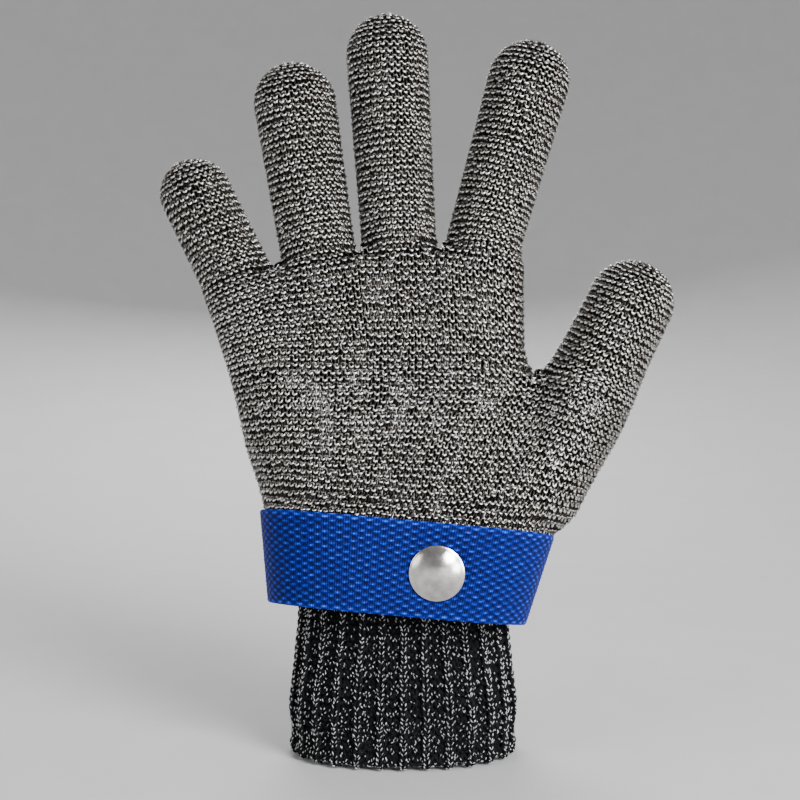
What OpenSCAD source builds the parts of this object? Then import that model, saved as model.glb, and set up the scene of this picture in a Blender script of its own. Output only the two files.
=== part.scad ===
// Cut-resistant butcher's glove for a right hand: a knitted steel wire mesh hand with a long
// ribbed cuff and a webbing wrist strap that closes with a press stud.
// Millimetres. The origin is the centre of the wrist opening. Fingers point to +Z and the palm
// faces -Y, so the thumb is on +X. Each finger bends toward the palm at three knuckles.

/* [Mesh] */
// Thickness of the knitted wire mesh
mesh_t = 1.3; // [1:0.1:1.6]
// Free gap between two pieces that turn against each other
clearance = 0.35; // [0.3:0.05:0.5]
// Half angle of the knuckle ball's lower opening, measured from the hinge plane
ball_reach = 32; // [28:1:34]

/* [Fingers] */
// Bend of the finger root knuckles at full grip, degrees
root_bend = 55; // [30:1:55]
// Bend of the little finger's root knuckle at full grip, degrees
little_root_bend = 45; // [30:1:45]
// Bend of the middle knuckles at full grip, degrees
middle_bend = 60; // [30:1:60]
// Bend of the end knuckles at full grip, degrees
end_bend = 36; // [18:1:36]
// Forward lean of the four fingers, degrees
finger_lean = 2; // [0:0.5:3]

/* [Thumb] */
// Bend of the thumb's lower knuckle, degrees
thumb_root_bend = 35; // [20:1:35]
// Bend of the thumb's upper knuckle, degrees
thumb_end_bend = 50; // [20:1:50]
// Turn of the thumb about its own length, so that it bends across the palm
thumb_roll = -40; // [-50:1:-30]
// Forward lean of the thumb, degrees
thumb_lean = 4; // [2:0.5:5]

/* [Strap] */
// Width of the webbing
web_w = 29; // [28:0.5:30]
// Thickness of the webbing
web_t = 1.4; // [1.2:0.1:1.6]
// Height of the strap's middle above the wrist opening
strap_z = 58; // [57:0.5:59]
// Half depth of the strap, front to back
strap_depth = 28.5; // [28:0.5:29]
// Sideways slope of the strap, down toward the thumb
strap_slope = 0.09; // [0.07:0.01:0.1]
// Front to back slope of the strap, up toward the palm
strap_pitch = 0.148; // [0.12:0.002:0.16]

/* [Press stud] */
// Sideways place of the press stud
snap_x = 10; // [8:0.5:12]
// Radius of the domed cap
cap_r = 8.8; // [8.5:0.1:9.2]
// Height of the domed cap
cap_h = 2.9; // [2.6:0.1:3.2]
// Radius of the stud's head
stud_r = 3.5; // [3.3:0.1:3.6]

/* [Cuff] */
// Height of the ribbed cuff, up into the strap
cuff_top = 63; // [60:0.5:64]
// Thickness of the ribbed knit
cuff_t = 1.8; // [1.6:0.1:2]
// Radius of the rolled lower hem
hem_r = 2.2; // [2:0.1:2.4]
// Radius of the overlock edge
overlock_r = 0.8; // [0.6:0.1:0.9]

/* [Hidden] */

STEEL = "silver";
BLACK = [0.1, 0.1, 0.11];
BLUE = [0.08, 0.2, 0.75];
BIG = 80;        // larger than any section, for cutting blocks
RING_N = 36;     // points around a fitted ring
EPS = 0.01;
LINER = 1;       // thickness of the balls and webs inside the knuckles

// Fingers: root x and z, tilt from upright, knuckle distances, tip centre distance,
// root radius, tip radius, root bend
LITTLE = [[-52.6, 149.3], -25.7, [6, 19.5, 32.5], 33.6, 12.3, 11.7, little_root_bend];
RING = [[-27.1, 157.1], -8.8, [8, 29, 49], 52.4, 12.1, 13.3, root_bend];
MIDDLE = [[-1.1, 159.9], -3.6, [8, 33, 56], 64.5, 12.1, 13.3, root_bend];
INDEX = [[25.4, 161], 15.5, [8, 31, 52], 57, 12.2, 13.3, root_bend];
// Thumb: root x and z, tilt, knuckle distances, tip centre distance, root radius, tip radius
THUMB = [[56.7, 110.2], 25.8, [10, 30], 37.7, 16, 13.7, thumb_root_bend];
THUMB_Y = -3;        // the thumb sits forward of the palm's middle plane
THENAR = 29.2;       // length of the thumb's base within the palm
THENAR_R = 14.5;     // its lower radius

// Hand sections: height, left x, right x, half depth, corner power, slope share
HAND = [
    [44, -41.9, 36.15, 26.7, 3, 1],
    [58, -43.15, 40.65, 26.7, 3, 1],
    [71, -44.3, 44.8, 26.7, 3, 1],
    [73, -44.5, 45.3, 26.7, 3, 1],
    [83, -46.8, 46.2, 22.5, 2.6, 0.5],
    [97, -51, 44, 19, 2.5, 0],
    [115, -54.8, 42, 17, 3, 0],
    [130, -58.7, 39.2, 15, 4, 0]
];
// Height of the line between palm and fingers, at a sideways place
function crotch_z(x) = 160 - 0.0028 * pow(x - 8, 2);
CROTCH = [-65, 39, 13.8, 5];     // left x, right x, half depth, corner power
// Cuff sections: height, half width, half depth
CUFF = [[4.5, 35.5, 24.8], [14, 37.2, 25.8], [28, 35.6, 23.4], [40, 34.4, 21.2],
    [cuff_top, 33, 20]];
CUFF_POWER = 2.3;
STRAP_POWER = 3;
ELASTIC_Z = [18, 26, 34];        // heights of the elastic threads inside the rib
ELASTIC_R = 0.5;
ELASTIC_GAP = 0.4;               // their distance from the rib's inside
OVERLOCK_GAP = 0.05;             // the overlock edge's distance from the hem

// One point of a rounded closed outline: corner power 2 is an ellipse, more is squarer
function pull(v, p) = sign(v) * pow(abs(v), 2 / p);
function oval(cx, hw, hd, p, k) =
    let(a = 360 * k / RING_N) [cx + hw * pull(cos(a), p), hd * pull(sin(a), p)];
// One ring of the hand, pulled in by off
function hand_ring(s, off) = [for (k = [0:RING_N - 1])
    let(q = oval((s[1] + s[2]) / 2, (s[2] - s[1]) / 2 - off, s[3] - off, s[4], k))
    [q.x, q.y, s[0] - s[5] * (strap_slope * q.x + strap_pitch * q.y)]];
function crotch_ring(off) = [for (k = [0:RING_N - 1])
    let(q = oval((CROTCH[0] + CROTCH[1]) / 2, (CROTCH[1] - CROTCH[0]) / 2 - off,
        CROTCH[2] - off, CROTCH[3], k))
    [q.x, q.y, crotch_z(q.x) - off]];
function flat_ring(z, hw, hd, p) = [for (k = [0:RING_N - 1])
    let(q = oval(0, hw, hd, p, k)) [q.x, q.y, z]];
// A ring of the strap's band, grown by off, at a height from the strap's middle. Side and front
// push the right end and the two faces out further, and leave the left end where it is.
function strap_centre(h) = -1.25 + 3.35 * h / web_w;
function strap_half_w(h) = 43.45 + 5.95 * h / web_w;
function strap_ring(h, off, side = 0, front = 0) = [for (k = [0:RING_N - 1])
    let(q = oval(strap_centre(h) + side / 2, strap_half_w(h) + off + side / 2,
        strap_depth + off + front, STRAP_POWER, k))
    [q.x, q.y, strap_z + h - strap_slope * q.x - strap_pitch * q.y]];
// Height of the strap's middle line at a place
function strap_mid(x, y) = strap_z - strap_slope * x - strap_pitch * y;
FLAP_LIFT = web_t + 2.8;      // how far the flap's face stands off the band, over the press stud
FLAP_SIDE = web_t + 0.3;      // and off its thumb side, where the two lie together
SNAP_Z = strap_mid(snap_x, -strap_depth);

// Solid through a stack of rings, closed at both ends
module loft(rings) {
    n = len(rings[0]);
    m = len(rings);
    centre_low = [for (c = [0:2]) [for (q = rings[0]) q[c]] * [for (q = rings[0]) 1] / n];
    centre_high = [for (c = [0:2]) [for (q = rings[m - 1]) q[c]] * [for (q = rings[0]) 1] / n];
    polyhedron(
        points = concat([for (r = rings) each r], [centre_low, centre_high]),
        faces = concat(
            [for (j = [0:m - 2], k = [0:n - 1]) let(a = j * n + k, b = j * n + (k + 1) % n)
                each [[a, b + n, b], [a, a + n, b + n]]],
            [for (k = [0:n - 1]) [m * n, k, (k + 1) % n]],
            [for (k = [0:n - 1]) [m * n + 1, (m - 1) * n + (k + 1) % n, (m - 1) * n + k]]),
        convexity = 6);
}

// Round thread laid along a closed ring, with an outward offset
module ring_thread(z, hw, hd, p, r, sides = 8) {
    ring = flat_ring(z, hw, hd, p);
    n = len(ring);
    polyhedron(
        points = [for (k = [0:n - 1])
            let(t = ring[(k + 1) % n] - ring[(k + n - 1) % n],
                out = [t.y, -t.x, 0] / norm(t))
            each [for (s = [0:sides - 1]) ring[k]
                + r * (cos(360 * s / sides) * out + sin(360 * s / sides) * [0, 0, 1])]],
        faces = [for (k = [0:n - 1], s = [0:sides - 1])
            let(a = k * sides + s, b = k * sides + (s + 1) % sides,
                c = ((k + 1) % n) * sides + (s + 1) % sides, d = ((k + 1) % n) * sides + s)
            each [[a, c, b], [a, d, c]]],
        convexity = 6);
}

// Place of a finger: +Z runs along it from its root, and it bends toward -Y
module at_finger(f) {
    translate([f[0].x, 0, f[0].y]) rotate([0, f[1], 0]) rotate([finger_lean, 0, 0]) children();
}
module at_thumb() {
    translate([THUMB[0].x, THUMB_Y, THUMB[0].y]) rotate([0, THUMB[1], 0])
        rotate([thumb_lean, 0, 0]) rotate([0, 0, thumb_roll]) children();
}
// Radius of a finger at a distance from its root
function radius_at(f, d) = f[4] + (f[5] - f[4]) * d / f[3];

// Everything below a knuckle's hinge plane, and below the plane that a bend needs clear
module below_knuckle(bend, gap) {
    lift = [0, 0, gap - BIG / 2];
    translate(lift) cube(BIG, center = true);
    rotate([-(bend / 2 + 1), 0, 0]) translate(lift) cube(BIG, center = true);
}
module above_knuckle(bend, gap) {
    mirror([0, 0, 1]) below_knuckle(bend, gap);
}

// One joint of a finger, from its own knuckle at the origin up to the next one. A ball shell
// at its foot turns inside the piece below.
module finger_tube(r_low, r_high, long, bend, next_bend) {
    gap = clearance / 2;
    ball = r_low - mesh_t - clearance;
    difference() {
        union() {
            sphere(r = ball, $fn = 64);
            difference() {
                cylinder(r1 = r_low, r2 = r_high, h = long, $fn = 64);
                below_knuckle(bend, gap);
            }
        }
        sphere(r = ball - LINER, $fn = 64);
        difference() {
            translate([0, 0, -EPS])
                cylinder(r1 = r_low - mesh_t, r2 = r_high - mesh_t, h = long + 2 * EPS, $fn = 64);
            below_knuckle(bend, gap + LINER);
        }
        translate([0, 0, -BIG / 2 - ball * sin(ball_reach)]) cube(BIG, center = true);
        translate([0, 0, long]) above_knuckle(next_bend, gap);
    }
}
module finger_end(r_low, r_tip, long, bend) {
    gap = clearance / 2;
    ball = r_low - mesh_t - clearance;
    difference() {
        union() {
            sphere(r = ball, $fn = 64);
            difference() {
                union() {
                    cylinder(r1 = r_low, r2 = r_tip, h = long, $fn = 64);
                    translate([0, 0, long]) sphere(r = r_tip, $fn = 64);
                }
                below_knuckle(bend, gap);
            }
        }
        sphere(r = ball - LINER, $fn = 64);
        difference() {
            union() {
                cylinder(r1 = r_low - mesh_t, r2 = r_tip - mesh_t, h = long, $fn = 64);
                translate([0, 0, long]) sphere(r = r_tip - mesh_t, $fn = 64);
            }
            below_knuckle(bend, gap + LINER);
        }
        translate([0, 0, -BIG / 2 - ball * sin(ball_reach)]) cube(BIG, center = true);
    }
}
module finger_lower(f) color(STEEL) at_finger(f) translate([0, 0, f[2][0]])
    finger_tube(radius_at(f, f[2][0]), radius_at(f, f[2][1]), f[2][1] - f[2][0], f[6], middle_bend);
module finger_middle(f) color(STEEL) at_finger(f) translate([0, 0, f[2][1]])
    finger_tube(radius_at(f, f[2][1]), radius_at(f, f[2][2]), f[2][2] - f[2][1], middle_bend,
        end_bend);
module finger_tip(f) color(STEEL) at_finger(f) translate([0, 0, f[2][2]])
    finger_end(radius_at(f, f[2][2]), f[5], f[3] - f[2][2], end_bend);

module thumb_lower() color(STEEL) at_thumb() translate([0, 0, THUMB[2][0]])
    finger_tube(radius_at(THUMB, THUMB[2][0]), radius_at(THUMB, THUMB[2][1]),
        THUMB[2][1] - THUMB[2][0], THUMB[6], thumb_end_bend);
module thumb_tip() color(STEEL) at_thumb() translate([0, 0, THUMB[2][1]])
    finger_end(radius_at(THUMB, THUMB[2][1]), THUMB[5], THUMB[3] - THUMB[2][1], thumb_end_bend);

// Half section of a round-ended sleeve: its lower end's radius and height, then its upper end's
module sleeve_section(r_low, z_low, r_high, z_high) {
    intersection() {
        union() {
            translate([0, z_low]) circle(r = r_low, $fn = 36);
            polygon([[0, z_low], [r_low, z_low], [r_high, z_high], [0, z_high]]);
        }
        translate([0, -BIG]) square([BIG, 2 * BIG]);
    }
}
// The sleeve that carries a finger, from its root inside the hand to the first knuckle
module finger_sleeve(f, off, top) {
    rotate_extrude($fn = 36) sleeve_section(f[4] - off, 0, f[4] - off, f[2][0] + top);
}
// The thumb's base, from the heel of the palm to the thumb's first knuckle
module thumb_sleeve(off, top) {
    rotate_extrude($fn = 36) sleeve_section(THENAR_R - off, -THENAR,
        radius_at(THUMB, THUMB[2][0]) - off, THUMB[2][0] + top);
}
module palm_body(off, drop) {
    loft(concat([[for (q = hand_ring(HAND[0], off)) q - [0, 0, drop]]],
        [for (s = HAND) hand_ring(s, off)], [crotch_ring(off)]));
}
module hand_mesh() color(STEEL) {
    difference() {
        union() {
            palm_body(0, 1);
            for (f = [LITTLE, RING, MIDDLE, INDEX]) at_finger(f) difference() {
                finger_sleeve(f, 0, 0);
                translate([0, 0, f[2][0]]) above_knuckle(f[6], clearance / 2);
            }
            at_thumb() difference() {
                thumb_sleeve(0, 0);
                translate([0, 0, THUMB[2][0]]) above_knuckle(THUMB[6], clearance / 2);
            }
        }
        palm_body(mesh_t, 4);
        for (f = [LITTLE, RING, MIDDLE, INDEX]) at_finger(f) finger_sleeve(f, mesh_t, 3);
        at_thumb() thumb_sleeve(mesh_t, 3);
    }
}

module cuff_rib() color(BLACK) {
    difference() {
        loft([for (s = CUFF) flat_ring(s[0], s[1], s[2], CUFF_POWER)]);
        loft([for (k = [0:len(CUFF) - 1]) let(s = CUFF[k],
            past = k == 0 ? -1 : k == len(CUFF) - 1 ? 1 : 0)    // the bore opens at both ends
            flat_ring(s[0] + past, s[1] - cuff_t, s[2] - cuff_t, CUFF_POWER)]);
    }
}
module cuff_hem() color(BLACK)
    ring_thread(hem_r, CUFF[0][1] - cuff_t / 2, CUFF[0][2] - cuff_t / 2, CUFF_POWER, hem_r, 10);
module cuff_overlock() color("steelblue") {
    in = cuff_t / 2 + hem_r + OVERLOCK_GAP + overlock_r;
    ring_thread(hem_r, CUFF[0][1] - in, CUFF[0][2] - in, CUFF_POWER, overlock_r);
}
module cuff_elastic() color("dimgray") {
    in = cuff_t + ELASTIC_GAP + ELASTIC_R;
    for (z = ELASTIC_Z)
        ring_thread(z, lookup(z, [for (s = CUFF) [s[0], s[1]]]) - in,
            lookup(z, [for (s = CUFF) [s[0], s[2]]]) - in, CUFF_POWER, ELASTIC_R, 6);
}

// A band of webbing along the strap's outline
module webbing(side = 0, front = 0) {
    half = web_w / 2;
    difference() {
        loft([strap_ring(-half, 0, side, front), strap_ring(half, 0, side, front)]);
        loft([strap_ring(-half - 2, -web_t, side, front),
            strap_ring(half + 2, -web_t, side, front)]);
    }
}
BAND_END = snap_x - 13;       // where the band's inner end stops under the flap
FLAP_CUT = -5;                // the flap lies in front of this plane
module strap_band() color(BLUE) {
    difference() {
        webbing();
        translate([BAND_END - BIG, -BIG + FLAP_CUT + 0.6, 0]) cube([BIG, BIG, 2 * BIG]);
        at_snap(0) cylinder(r = RIVET_HOLE_R, h = BIG, $fn = 48);
        at_snap(STUD_SEAT) cylinder(r = STUD_BASE_R + SEAT_FREE, h = BIG, $fn = 96);
        at_snap(EYELET_SEAT) mirror([0, 0, 1])
            cylinder(r = EYELET_R + SEAT_FREE, h = SEAT_DEEP, $fn = 96);
    }
}
module strap_flap() color(BLUE) {
    difference() {
        webbing(FLAP_SIDE, FLAP_LIFT);
        translate([-BIG, FLAP_CUT, 0]) cube(2 * BIG);
        at_snap(0) cylinder(r = RIVET_HOLE_R, h = BIG, $fn = 48);
        at_snap(CAP_SEAT) cylinder(r = cap_r + SEAT_FREE, h = BIG, $fn = 96);
        at_snap(SOCKET_SEAT) mirror([0, 0, 1])
            cylinder(r = SOCKET_R + SEAT_FREE, h = SEAT_DEEP, $fn = 96);
    }
}
// Distances of the flat seats of the press stud's pieces, pressed into the webbing, from the
// glove's middle
CAP_SEAT = strap_depth + FLAP_LIFT - 0.3;
SOCKET_SEAT = strap_depth + FLAP_LIFT - web_t;
STUD_SEAT = strap_depth - 0.2;
EYELET_SEAT = strap_depth - web_t - 0.1;
SEAT_FREE = 0.3;         // free room round a piece in its seat
SEAT_DEEP = 5;           // how far the seats' cuts reach out of the webbing's inside
RIVET_R = 1.5;           // the rivet through the webbing, and its hole
RIVET_HOLE_R = 1.6;
RIVET_BORE_R = 0.9;      // bore of the cap's hollow rivet
STUD_BASE_R = 5.6;       // radii of the stud's base, the socket and the eyelet
SOCKET_R = 6.1;
EYELET_R = 5;

// A short thread laid on the webbing's outside, from one place to another
THREAD_R = 0.4;
THREAD_OUT = 0.5;    // distance of a thread's middle from the webbing
module stitch(a, b) {
    d = b - a;
    translate(a) rotate([0, acos(d.z / norm(d)), atan2(d.y, d.x)])
        cylinder(r = THREAD_R, h = norm(d), $fn = 24);
}
SEAM_IN = 2.6;       // distance of the seams from the webbing's edges
SEAM_X = [-33, 31];  // ends of the seams on the band's back
STITCH = 3.2;        // stitch pitch
STITCH_GAP = 1;      // length of webbing between two stitches
module strap_seams() color(BLUE) {
    y = strap_depth + THREAD_OUT;
    for (edge = [-1, 1], x = [SEAM_X[0]:STITCH:SEAM_X[1]]) {
        h = edge * (web_w / 2 - SEAM_IN);
        end = x + STITCH - STITCH_GAP;
        stitch([x, back_y(x, h) + THREAD_OUT, strap_mid(x, y) + h],
            [end, back_y(end, h) + THREAD_OUT, strap_mid(end, y) + h]);
    }
}
// Depth of the band's back at a sideways place
function back_y(x, h) = let(u = abs(x - strap_centre(h)) / strap_half_w(h))
    strap_depth * pow(1 - pow(u, STRAP_POWER), 1 / STRAP_POWER);
// Bar of thread down the flap's root, on the side of the little finger: short threads across the
// line where the flap leaves the band, each a little tilted
ROOT_BAR = [-10.4, 2.6, 10.4];       // first height, pitch and last height from the strap's middle
ROOT_Y = [-3.2, 2.2];                // their front and back ends
ROOT_TILT = 0.6;                     // difference in height between the two ends
module flap_root_stitching() color(BLUE) {
    for (h = [ROOT_BAR[0]:ROOT_BAR[1]:ROOT_BAR[2]]) {
        x = strap_centre(h) - strap_half_w(h) - THREAD_OUT;
        z = strap_mid(x, (ROOT_Y[0] + ROOT_Y[1]) / 2) + h;
        stitch([x, ROOT_Y[0], z + ROOT_TILT / 2], [x, ROOT_Y[1], z - ROOT_TILT / 2]);
    }
}

// Things turned about the press stud's axis; the profile's height runs outward, toward -Y
module at_snap(y) translate([snap_x, -y, SNAP_Z]) rotate([90, 0, 0]) children();
SEAT_GAP = 0.02;     // a piece's distance from its seat
module snap_cap() color(STEEL) at_snap(CAP_SEAT + SEAT_GAP) {
    dome = (cap_r * cap_r + cap_h * cap_h) / (2 * cap_h);
    difference() {
        union() {
            // The dome, its rolled edge's flat underside, and the rivet below it
            intersection() {
                translate([0, 0, cap_h - dome]) sphere(r = dome, $fn = 128);
                translate([0, 0, 0.4]) cylinder(r = cap_r, h = cap_h, $fn = 96);
            }
            cylinder(r = cap_r - 0.35, h = 0.5, $fn = 96);
            translate([0, 0, -web_t - 0.4]) cylinder(r = RIVET_R, h = web_t + 0.8, $fn = 48);
        }
        translate([0, 0, -web_t - 1]) cylinder(r = RIVET_BORE_R, h = web_t + 2, $fn = 48);
    }
}
// Half section of the socket: a dished ring that grips the stud's head
module snap_socket() color(STEEL) at_snap(SOCKET_SEAT - SEAT_GAP) {
    rotate_extrude($fn = 96) polygon([[RIVET_HOLE_R, 0], [SOCKET_R - 0.2, 0], [SOCKET_R, -0.3],
        [SOCKET_R, -1.3], [SOCKET_R - 0.3, -1.55], [4.1, -1.55], [3.9, -1.35], [4, -0.7],
        [RIVET_HOLE_R, -0.7]]);
}
// The stud: its base, its waisted head and its rivet
module snap_stud() color(STEEL) at_snap(STUD_SEAT + SEAT_GAP) {
    rotate_extrude($fn = 96) polygon([[0, 0], [STUD_BASE_R - 0.2, 0], [STUD_BASE_R, 0.25],
        [STUD_BASE_R - 0.2, 0.5], [2.9, 0.5], [2.8, 0.8], [stud_r - 0.1, 1.05], [stud_r, 1.3],
        [stud_r - 0.4, 1.55], [0, 1.65]]);
    translate([0, 0, -web_t - 0.15]) cylinder(r = RIVET_R, h = web_t + 0.3, $fn = 48);
}
// The washer that the stud's rivet is set in
module snap_eyelet() color(STEEL) at_snap(EYELET_SEAT - SEAT_GAP) {
    rotate_extrude($fn = 96) polygon([[RIVET_R + 0.05, 0], [EYELET_R - 0.1, 0],
        [EYELET_R, -0.12], [EYELET_R - 0.2, -0.2], [RIVET_R + 0.05, -0.2]]);
}

hand_mesh();
finger_lower(INDEX);  // index_lower
finger_middle(INDEX);  // index_middle
finger_tip(INDEX);  // index_tip
finger_lower(MIDDLE);  // middle_lower
finger_middle(MIDDLE);  // middle_middle
finger_tip(MIDDLE);  // middle_tip
finger_lower(RING);  // ring_lower
finger_middle(RING);  // ring_middle
finger_tip(RING);  // ring_tip
finger_lower(LITTLE);  // little_lower
finger_middle(LITTLE);  // little_middle
finger_tip(LITTLE);  // little_tip
thumb_lower();
thumb_tip();
cuff_rib();
cuff_hem();
cuff_overlock();
cuff_elastic();
strap_band();
strap_seams();
strap_flap();
flap_root_stitching();
snap_cap();
snap_socket();
snap_stud();
snap_eyelet();
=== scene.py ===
"""Looks for the knitted steel butcher's glove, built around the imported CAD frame. Metres."""
import math
from collections import namedtuple

import bpy
import numpy as np
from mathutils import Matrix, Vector


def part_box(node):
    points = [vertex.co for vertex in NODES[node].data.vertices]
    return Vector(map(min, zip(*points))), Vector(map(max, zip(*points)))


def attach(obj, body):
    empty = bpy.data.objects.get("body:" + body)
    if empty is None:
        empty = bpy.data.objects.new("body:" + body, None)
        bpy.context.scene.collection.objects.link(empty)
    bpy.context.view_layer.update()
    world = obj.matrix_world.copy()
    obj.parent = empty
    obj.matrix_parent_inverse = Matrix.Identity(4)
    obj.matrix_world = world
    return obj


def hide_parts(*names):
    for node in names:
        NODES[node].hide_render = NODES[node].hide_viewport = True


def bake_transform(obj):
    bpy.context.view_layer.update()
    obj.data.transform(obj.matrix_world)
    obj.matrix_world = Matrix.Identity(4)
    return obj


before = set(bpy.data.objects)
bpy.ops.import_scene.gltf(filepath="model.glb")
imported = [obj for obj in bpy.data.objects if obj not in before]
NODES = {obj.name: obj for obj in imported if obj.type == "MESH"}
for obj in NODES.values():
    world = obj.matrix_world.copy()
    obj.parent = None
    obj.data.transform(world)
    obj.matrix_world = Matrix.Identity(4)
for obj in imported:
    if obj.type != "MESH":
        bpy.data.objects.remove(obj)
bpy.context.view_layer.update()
MM = 0.001

# ---------- the glove's form, in millimetres
# The rings and axes repeat the CAD's sections. Fingers point to +Z and the palm faces -Y.
STRAP_SLOPE, STRAP_PITCH = 0.09, 0.148
HAND = np.array([  # height, left x, right x, half depth, corner power, share of the strap's slope
    [44, -41.9, 36.15, 26.7, 3, 1],
    [58, -43.15, 40.65, 26.7, 3, 1],
    [71, -44.3, 44.8, 26.7, 3, 1],
    [73, -44.5, 45.3, 26.7, 3, 1],
    [83, -46.8, 46.2, 22.5, 2.6, 0.5],
    [97, -51, 44, 19, 2.5, 0],
    [115, -54.8, 42, 17, 3, 0],
    [130, -58.7, 39.2, 15, 4, 0],
    [150, -63.5, 39, 14, 4.5, 0],
    [164, -65, 39, 13.6, 5, 0],
])
LEAN = 2.0  # how far the fingers lean toward the palm, in degrees
# Root x and z, tilt, knuckle distances, tip centre distance, root radius, tip radius
FINGERS = {
    "little": ([-52.6, 149.3], -25.7, [6, 19.5, 32.5], 33.6, 12.3, 11.7),
    "ring": ([-27.1, 157.1], -8.8, [8, 29, 49], 52.4, 12.1, 13.3),
    "middle": ([-1.1, 159.9], -3.6, [8, 33, 56], 64.5, 12.1, 13.3),
    "index": ([25.4, 161], 15.5, [8, 31, 52], 57, 12.2, 13.3),
}
FINGER_FOOT, ROOT_IN = 14, 0.3  # how far under its root a finger starts, and how much slimmer
THUMB_ROOT = np.array([56.7, -3, 110.2])
THUMB_TILT, THUMB_LEAN = 25.8, 4.0
THUMB_KNUCKLES, THUMB_LONG, THUMB_TIP_R = [10, 30], 37.7, 13.7
THENAR, THENAR_R = 29.2, 14.5  # how far under its root the thumb's ball starts, and its radius
BULGE, BULGE_REACH = 1.5, 16  # how much thicker the thumb is at its root, and how far
CROTCH_TOP, CROTCH_CURVE, CROTCH_X = 160, 0.0028, 8  # the arch on which the fingers part
PALM_OVER = 1.5  # how far the palm's loft goes past that arch
PALM_BLEND, FINGER_BLEND, THUMB_BLEND = 5, 2.5, 9  # how wide the joins between them are rounded
LEAST_SLOPE = 0.012  # keeps the palm's distance sound near its axis

MESH_T = 1.3  # thickness of the knit
WIRE_R = 0.43  # radius of the stranded steel wire
WALE = 2.15  # wanted distance between wales


def axis_of(tilt, lean):
    """Direction of a finger that tilts sideways and leans toward the palm, in degrees."""
    t, n = math.radians(tilt), math.radians(lean)
    return np.array([math.cos(n) * math.sin(t), -math.sin(n), math.cos(n) * math.cos(t)])


THUMB_AXIS = axis_of(THUMB_TILT, THUMB_LEAN)


def finger_root(root):
    return np.array([root[0], 0, root[1]])


def crotch_z(x):
    """Height of the arch on which the fingers part."""
    return CROTCH_TOP - CROTCH_CURVE * (x - CROTCH_X) ** 2


def smooth_min(a, b, k):
    """The smaller of two distances, with the join rounded over the width k."""
    h = np.maximum(k - np.abs(a - b), 0) / k
    return np.minimum(a, b) - h * h * k / 4


def cone_distance(p, foot, axis, long, r_low, r_high):
    """Distance to a round cone with a ball at each end, from foot along an axis."""
    d = p - foot
    along = d @ axis
    t = np.clip(along / long, 0, 1)
    nearest = t[:, None] * long * axis
    return np.linalg.norm(d - nearest, axis=1) - (r_low + (r_high - r_low) * t)


def palm_distance(p):
    """Distance to the hand's loft of rounded sections, closed at the line between the fingers."""
    x, y, z = p.T
    share = np.interp(z, HAND[:, 0], HAND[:, 5])
    level = z + share * (STRAP_SLOPE * x + STRAP_PITCH * y)
    left, right, depth, power = (np.interp(level, HAND[:, 0], HAND[:, c]) for c in (1, 2, 3, 4))
    half = (right - left) / 2
    u = np.abs(x - (left + right) / 2) / half + 1e-6
    v = np.abs(y) / depth + 1e-6
    rho = (u ** power + v ** power) ** (1 / power)
    slope = rho ** (1 - power) * np.hypot(u ** (power - 1) / half, v ** (power - 1) / depth)
    body = (rho - 1) / np.maximum(slope, LEAST_SLOPE)
    top = z - (crotch_z(x) + PALM_OVER)
    return -smooth_min(-body, -top, PALM_BLEND)


def glove_distance(p):
    """Signed distance, about, to the outside of the glove's hand."""
    fingers = None
    for root, tilt, _, long, r, r_tip in FINGERS.values():
        axis = axis_of(tilt, LEAN)
        foot = finger_root(root) - FINGER_FOOT * axis
        d = cone_distance(p, foot, axis, long + FINGER_FOOT, r - ROOT_IN, r_tip)
        fingers = d if fingers is None else smooth_min(fingers, d, FINGER_BLEND)
    hand = smooth_min(palm_distance(p), fingers, PALM_BLEND)
    thumb = cone_distance(p, THUMB_ROOT - THENAR * THUMB_AXIS, THUMB_AXIS,
                          THENAR + THUMB_LONG, THENAR_R, THUMB_TIP_R)
    bulge = BULGE * np.exp(-(((p - THUMB_ROOT) @ THUMB_AXIS) / BULGE_REACH) ** 2)
    return smooth_min(hand, thumb - bulge, THUMB_BLEND)


def unit(v):
    """Vectors of length 1."""
    return v / np.maximum(np.linalg.norm(v, axis=-1, keepdims=True), 1e-9)


def gradient(f, p, step=0.02):
    """Gradient of a function of points, by differences."""
    g = np.empty_like(p)
    for c in range(3):
        e = np.zeros(3)
        e[c] = step
        g[:, c] = (f(p + e) - f(p - e)) / (2 * step)
    return g


GAP_Y = -1.5  # depth at which the crotches are looked for


def crotch(left, right, low, high):
    """Lowest open point between two digits within these limits of x and z: its x and z."""
    xs = np.linspace(left, right, 81)
    for z in np.arange(low, high, 0.1):
        d = glove_distance(np.stack([xs, np.full_like(xs, GAP_Y), np.full_like(xs, z)], 1))
        if d.max() > 0:
            return xs[d.argmax()], z
    raise ValueError("no crotch between these heights")


GAPS = [crotch(left, right, 145, 175) for left, right in ((-47, -34), (-21, -8), (6, 20))]
ARCH = np.polyfit([g[0] for g in GAPS], [g[1] for g in GAPS], 2)  # the line of the crotches
THUMB_GAP = crotch(38, 56, 105, 135)


# ---------- courses: level lines on the form
# A course is where the glove's surface meets a level surface
#   up * (z - base) + across * (distance along an axis) = level
# with base = height - strap * (the strap's slopes) - bend * ramp(x) - sag * fall(x)
#             + arch * (line of the crotches) + the room kept beside the crotches
RAMP_X, RAMP_W = 46, 11  # where the courses turn down toward the thumb, and how gently
RAMP_SLOPE = math.tan(math.radians(THUMB_TILT))
FALL_X, FALL = -36, 0.008  # where they start to fall toward the little finger's side, and how fast
COURSE = 2.15  # wanted distance between courses from the thumb's crotch up
LOW_COURSE = 2.6  # and below it, where they start further apart and draw together
DRAWN = 0.16  # by this share the first are wider apart than the mean, and the last closer
NEAR = 0.4  # the last course under a crotch and the first over it keep this far from it
ROOM = COURSE / 2 - NEAR  # and this much further where there is no crotch
THUMB_REACH, GAP_REACH = 9, 4.5  # how far to each side a crotch draws the courses to it


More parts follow.
